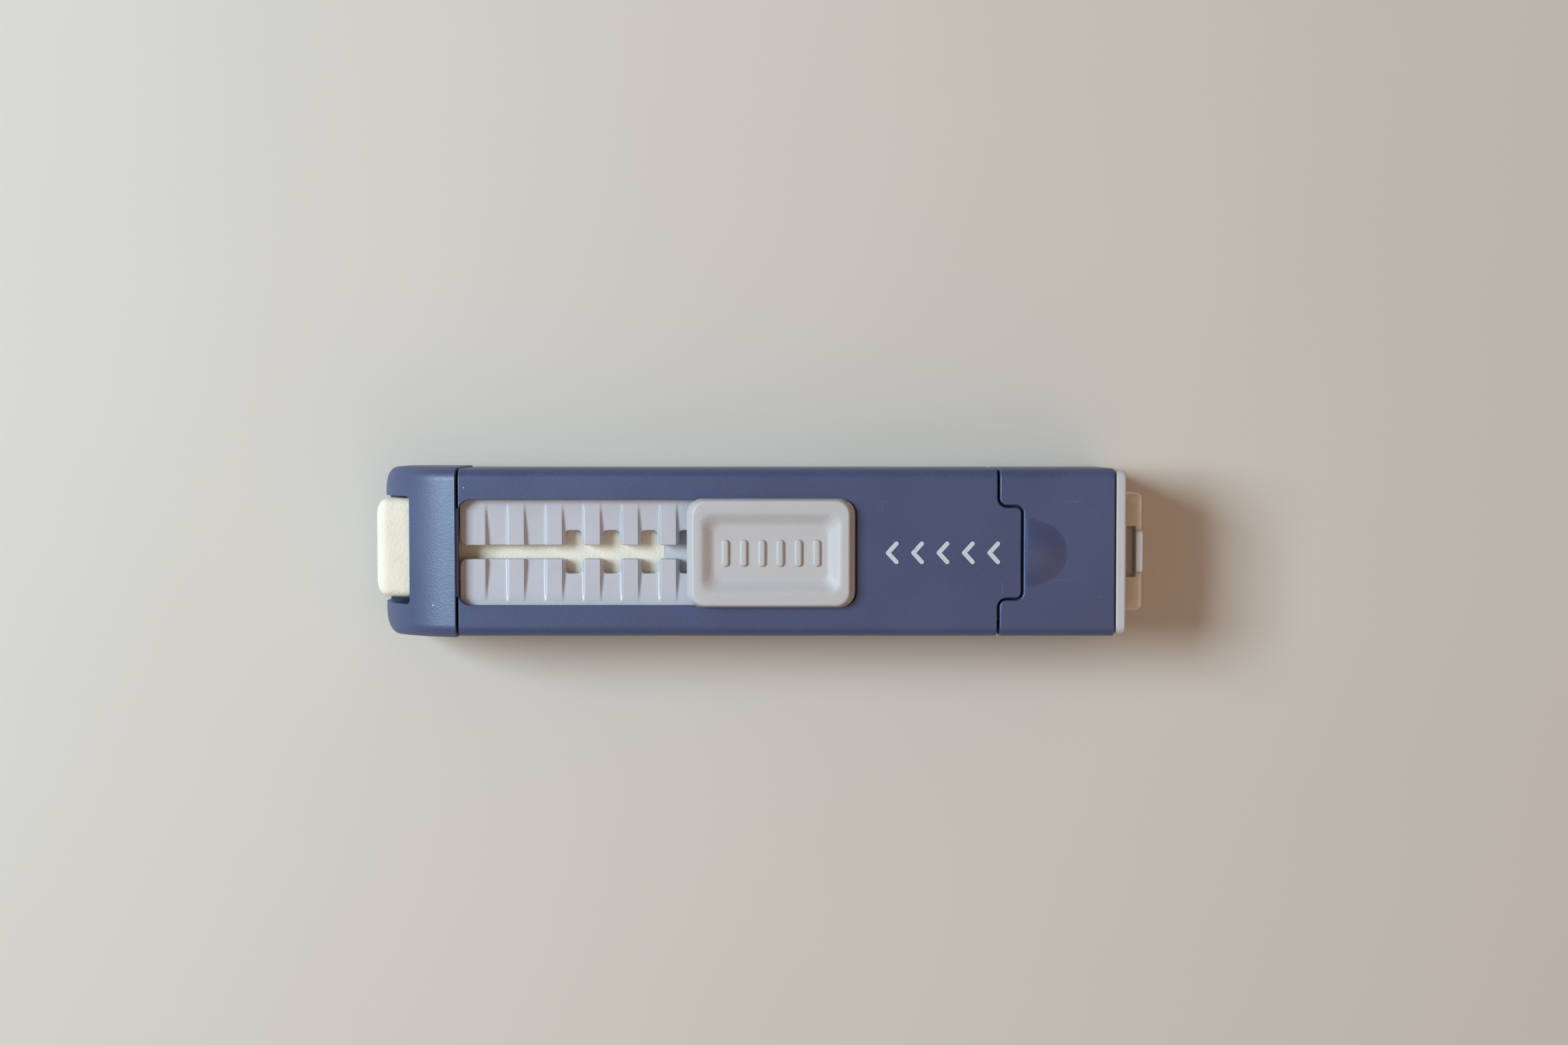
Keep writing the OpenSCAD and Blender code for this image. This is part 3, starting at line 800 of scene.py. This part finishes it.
def make_slider():
    """Thumb pad: sloping sides, a soft rim and a dish with sloping walls."""
    length, width = slider_hi.x - slider_lo.x, slider_hi.y - slider_lo.y
    mid = (slider_lo.x + slider_hi.x) / 2
    top = slider_hi.z
    foot = CASE_H + 0.2
    taper, side_taper, rim_r = 0.7, 0.35, 0.34
    dish_w, depth, slope = 10.3, 0.95, 2.0
    loops = []

    def ring(inset, r, z, narrower=0.0):
        loops.append(pad_loop(length - 2 * inset, width - 2 * (inset - narrower), r, mid, z))

    ring(0.12, 1.9, foot)
    ring(0.03, 1.98, foot + 0.05)
    ring(0.0, 2.0, foot + 0.14)
    rim_start, rim_steps, wall_steps = math.radians(25), 6, 14
    for i in range(rim_steps + 1):
        angle = rim_start + (math.pi / 2 - rim_start) * i / rim_steps
        inset = taper + rim_r * (1 - math.cos(angle)) - 0.1
        ring(inset, 1.75, top - rim_r * (1 - math.sin(angle)), taper - side_taper)
    crest = (width - dish_w) / 2 - 0.25
    ring(crest, 1.5, top)
    for i in range(1, wall_steps + 1):
        t = i / wall_steps
        ease = t * t * (3 - 2 * t)
        ring(crest + 0.1 + slope * t, 1.5 - 0.35 * t, top - depth * ease)
    loops.append(pad_loop(length - width, 0.8, 0.3, mid, top - depth - 0.02))
    pad = loft("slider", loops)
    skirt = slab(centred(round_rect(length - 0.7, WINDOW_W - 0.6, 1.5, 10), mid), DECK + 0.3, foot + 0.2)
    add(pad, bevel(skirt, 0.1, 2))
    ridges, pitch, ridge_w, ridge_len, ridge_r = 6, 2.3, 0.95, 3.4, 0.44
    for i in range(ridges):
        x = mid + (i - (ridges - 1) / 2) * pitch
        rings = []
        for inset, z in ((0.0, -0.1), (0.0, 0.12), (0.06, 0.26), (0.18, 0.34), (0.3, 0.35)):
            rings.append(pad_loop(ridge_w - 2 * inset, ridge_len - 2 * inset, ridge_r - inset, x,
                                  top - depth + z, 6))
        add(pad, loft("ridge", rings))
    key_x, key_y, key_top = (-4.85, 7.25), 0.75, DECK + 1.15    # pocket for the carrier's stem
    cut(pad, block(*key_x, -key_y, key_y, DECK - 1, key_top))
    finish_piece(pad, "slider_pad", "slider", ["slider_button"], SLIDER, sharp=45,
                 weighted=False)


def densify(outline, step):
    """The outline with long straight stretches divided."""
    points = []
    for i, (x, y) in enumerate(outline):
        nx, ny = outline[(i + 1) % len(outline)]
        parts = max(1, round(math.hypot(nx - x, ny - y) / step))
        points += [(x + (nx - x) * k / parts, y + (ny - y) * k / parts) for k in range(parts)]
    return points


def make_eraser():
    """Block with a worn, rounded tip and slightly uneven faces."""
    width, height = rubber_hi.y - rubber_lo.y, rubber_hi.z - rubber_lo.z
    mid_z = (rubber_lo.z + rubber_hi.z) / 2
    tip_r = 1.7
    edge_r, spacing = 1.2, 0.5
    lean = 0.5                       # the loose eraser rests against one horn of the cap
    start = rubber_lo.x
    xs = [start + tip_r * (1 - math.cos(math.radians(a))) for a in range(8, 91, 8)]
    while xs[-1] < carrier_lo.x - spacing:
        xs.append(xs[-1] + spacing)
    xs.append(carrier_lo.x)
    base = densify(round_rect(width, height, edge_r), 0.6)
    loops = []
    for x in xs:
        tuck = max(0.0, tip_r - (x - start))
        inset = tip_r - math.sqrt(tip_r ** 2 - tuck ** 2)
        sy, sz = 1 - 2 * inset / width, 1 - 2 * inset / height
        loop = []
        for y, z in base:
            wobble = 0.05 * (noise.noise(Vector((x * 0.5, y * 0.5, z * 0.5))) - 0.55)
            wobble += 0.02 * noise.noise(Vector((x * 1.9, y * 1.9, z * 1.9)))
            grow = 1 + 2 * min(0.0, wobble) / height
            aside = lean * (x - carrier_lo.x) / (start - carrier_lo.x)
            loop.append((x, aside + y * sy * grow, mid_z + z * sz * grow))
        loops.append(loop)
    rubber = loft("eraser", loops)
    tail = bar(carrier_lo.x - 0.5, rubber_hi.x, width - 2, rubber_lo.z + 1, rubber_hi.z - 1, INNER_R)
    add(rubber, tail)
    finish_piece(rubber, "eraser_block", "slider", ["eraser"], RUBBER, sharp=50,
                 weighted=False)


# ---------------------------------------------------------------- bin and end plate

def bump_surface():
    """Points of a half dome beside the seam, soft at its foot and steep at the seam."""
    x0, reach, half = bin_lo.x + TONGUE_LEN + 0.22, 5.7, 4.7
    rise = bin_hi.z - CASE_H
    steps_x, steps_y = 30, 34
    sunk, edge = 0.06, 0.3
    verts = []
    for i in range(steps_x + 1):
        for j in range(steps_y + 1):
            u = i / steps_x
            v = -1 + 2 * j / steps_y
            y = half * v * math.sqrt(max(0.0, 1 - u * u))
            r = math.hypot(u, v * math.sqrt(max(0.0, 1 - u * u)))
            z = CASE_H - sunk + (rise + sunk) * max(0.0, 1 - r * r) ** 1.4
            along = u * reach
            if along < edge:
                z -= (edge - math.sqrt(edge ** 2 - (edge - along) ** 2)) * 0.8
            verts.append((x0 + along, y, z))
    return verts, steps_x, steps_y


def bump_solid():
    """The half dome closed down to a flat base inside the bin's top wall."""
    verts, nx, ny = bump_surface()
    wide = ny + 1
    top = len(verts)
    bottom = [(x, y, CASE_H - 0.8) for x, y, _ in verts]
    faces = []
    for i in range(nx):
        for j in range(ny):
            a = i * wide + j
            faces.append((a, a + wide, a + wide + 1, a + 1))
            faces.append((top + a, top + a + 1, top + a + wide + 1, top + a + wide))
    for i in range(nx):
        for a, b in ((i * wide, (i + 1) * wide), ((i + 1) * wide + ny, i * wide + ny)):
            faces.append((a, top + a, top + b, b))
    for j in range(ny):
        faces.append((j + 1, top + j + 1, top + j, j))
    solid = mesh_object("bump", verts + bottom, faces)
    bm = bmesh.new()
    bm.from_mesh(solid.data)
    bmesh.ops.remove_doubles(bm, verts=bm.verts, dist=1e-4)
    bmesh.ops.dissolve_degenerate(bm, dist=1e-5, edges=bm.edges)
    bmesh.ops.recalc_face_normals(bm, faces=bm.faces)
    bm.to_mesh(solid.data)
    bm.free()
    return solid


def make_bin():
    """Shavings bin: an open box with the tongue's recess and the thumb bump."""
    cover = bar(bin_lo.x, bin_hi.x, CASE_W, 0, CASE_H, EDGE_R)
    cut(cover, slab(tongue_outline(SEAM, bin_lo.x - 1), DECK - 0.5, CASE_H + 1))
    bevel(cover, 0.24, 4)
    cut(cover, bar(bin_lo.x - 1, bin_hi.x + 1, CASE_W - 2 * WALL, WALL, DECK, INNER_R))
    add(cover, bump_solid())
    finish_piece(cover, "bin_shell", "bin", ["bin_cover"], NAVY, sharp=38)


def make_plate():
    """End plate with a skirt inside the bin, a flared pencil entry and the hinge ears."""
    x0, x1, inset = bin_hi.x + 0.1, PLATE_END, 0.25
    ear_r, pin_r, ear_y = 0.58, 0.32, (5.2, 6.1)
    plate = bevel(bar(x0, x1, CASE_W - 2 * inset, inset, CASE_H - inset, 1.2), 0.32, 4)
    skirt_w = CASE_W - 2 * WALL - 0.1
    skirt = bar(plate_lo.x, x0 + 0.3, skirt_w, WALL + 0.05, DECK - 0.05, INNER_R)
    cut(skirt, bar(plate_lo.x - 1, x0, skirt_w - 2, WALL + 1, DECK - 1, INNER_R))
    add(plate, skirt)
    for side in (-1, 1):
        y0, y1 = sorted(side * y for y in ear_y)
        ear = block(x1 - 0.3, HINGE_X, y0, y1, HINGE_Z - ear_r, HINGE_Z + ear_r)
        add(ear, rod(HINGE_X, HINGE_Z, ear_r, y0, y1))
        add(plate, ear)
    ring, hole_r, points = 0.3, 4.4, 64
    cut(plate, bore(x0 - 1, x1 + 1, hole_r))
    flare = [[(x, r * math.cos(a), MID_Z + r * math.sin(a))
              for a in [2 * math.pi * k / points for k in range(points)]]
             for x, r in ((x1 - ring, hole_r - 0.01), (x1 - ring * 0.3, hole_r + ring * 0.3),
                          (x1 + 0.02, hole_r + ring), (x1 + 1, hole_r + ring))]
    cut(plate, loft("flare", flare))
    cut(plate, rod(HINGE_X, HINGE_Z, pin_r, -9, 9))
    finish_piece(plate, "plate_shell", "bin", ["end_plate"], PALE, sharp=38)


def make_flap():
    """Translucent tray over the pencil hole, with a finger notch and hinge ears."""
    x0, x1 = flap_lo.x, flap_hi.x
    width, z0, z1 = flap_hi.y - flap_lo.y, flap_lo.z, flap_hi.z
    knuckle = HINGE_X - x0
    inner_x, inner_w = x1 - 0.7, width - 1.9
    sill_y, notch_y, tab_w = 4.8, 3.25, 5.4
    slot_x, slot_y = inner_x + 0.03, inner_w / 2 + 0.03    # past the hollow's walls, for clean cuts
    tray = bar(x0, x1, width, z0, z1, 0.8)
    keep(tray, slab(centred(round_rect(8, width, 0.6), x1 - 4), z0 - 1, z1 + 1))
    profile = arc(HINGE_X, HINGE_Z, knuckle, 180, 90, 12) + [(x1, z0), (x1, z1), (x0, z1)]
    keep(tray, loft("profile", [[(x, y, z) for x, z in profile] for y in (-9, 9)]))
    cut(tray, block(x0 - 1, inner_x, -inner_w / 2, inner_w / 2, z0 + 0.45, z1 - 0.8))
    for side in (-1, 1):
        y0, y1 = sorted((side * sill_y, side * slot_y))
        cut(tray, block(x0 - 1, slot_x, y0, y1, z0 - 1, HINGE_Z + 0.02))
    cut(tray, block(x0 - 1, HINGE_X, -sill_y - 0.01, sill_y + 0.01, z0 - 1, HINGE_Z))
    cut(tray, block(x0 - 1, slot_x, -notch_y, notch_y, z1 - 1.6, z1 + 1))
    cut(tray, rod(HINGE_X, HINGE_Z, 0.36, -9, 9))
    shelf_y = notch_y + 0.15         # closes the notch below, and hangs on the front wall
    add(tray, block(x0 + 0.25, inner_x + 0.1, -shelf_y, shelf_y, z1 - 1.7, z1 - 1.2))
    cut(tray, bar(tab_lo.x - 0.05, tab_hi.x + 1, tab_w, tab_lo.z, tab_hi.z, 0.5))
    finish_piece(tray, "flap_tray", "flap", ["entry_flap"], SMOKY, sharp=38)

    tab = bevel(bar(tab_lo.x, tab_hi.x, tab_w, tab_lo.z, tab_hi.z, 0.5), 0.12, 3)
    # the grip's lightened gray is painted light
    finish_piece(tab, "flap_grip", "flap", ["flap_tab"], GRIP_PAINTED_LIGHT)


# ---------------------------------------------------------------- pieces kept from the CAD model

def dress(node, material, edge=0.12):
    """Gives a CAD node its finish and softened edges."""
    obj = frame["nodes"][node]
    obj.data.materials.clear()
    obj.data.materials.append(material)
    weld = obj.modifiers.new("weld", "WELD")
    weld.merge_threshold = 1e-6
    step = obj.modifiers.new("bevel", "BEVEL")
    step.width = edge * MM
    step.segments = 2
    step.limit_method = "ANGLE"
    step.angle_limit = math.radians(40)
    smooth(obj, 40)


make_case()
make_print()
make_cap()
make_track()
make_slider()
make_eraser()
make_bin()
make_plate()
make_flap()
dress("eraser_carrier", CARRIER)
dress("sharpener_body", BLOCK)
dress("sharpener_blade", BLADE, 0.04)
dress("blade_screw", PLATED, 0.06)
dress("flap_hinge_pins", PLATED, 0.06)


# ---------------------------------------------------------------- floor, light and camera

def make_floor():
    half = 1.2
    corners = [(-half, -half, 0), (half, -half, 0), (half, half, 0), (-half, half, 0)]
    floor = mesh_object("floor", corners, [(0, 1, 2, 3)])
    floor.data.materials.append(floor_paint())


def make_light(name, direction, distance, size, power, color):
    """Square area light that shines on the stick from a direction."""
    data = bpy.data.lights.new(name, "AREA")
    data.shape = "SQUARE"
    data.size = size
    data.energy = power
    data.color = color
    lamp = bpy.data.objects.new(name, data)
    bpy.context.scene.collection.objects.link(lamp)
    toward = Vector(direction).normalized()
    lamp.location = toward * distance
    lamp.rotation_euler = (-toward).to_track_quat("-Z", "Y").to_euler()


def make_camera():
    """50 mm lens above the stick, leaning a little towards it."""
    data = bpy.data.cameras.new("camera")
    data.lens = 50
    data.sensor_width = 36
    data.clip_start = 0.01
    camera = bpy.data.objects.new("camera", data)
    bpy.context.scene.collection.objects.link(camera)
    target = Vector((3.28, 3.83, CASE_H)) * MM
    lean = math.radians(2.35)
    distance = 0.2745
    camera.location = target + Vector((0, math.sin(lean), math.cos(lean))) * distance
    camera.rotation_euler = (-lean, 0, 0)
    bpy.context.scene.camera = camera


make_floor()
make_light("key", (-1.07, 0.27, 1.12), 0.7, 0.28, 5.25, (0.745, 0.905, 1.0))
make_light("fill", (0.55, -0.3, 0.9), 0.9, 0.8, 1.52, (1.0, 0.63, 0.41))
make_camera()

world = bpy.data.worlds.new("studio")
bpy.context.scene.world = world
world.use_nodes = True
sky = world.node_tree.nodes["Background"]
sky.inputs["Color"].default_value = (1.0, 0.77, 0.60, 1)
sky.inputs["Strength"].default_value = 0.25
bpy.context.scene.view_settings.view_transform = "Standard"
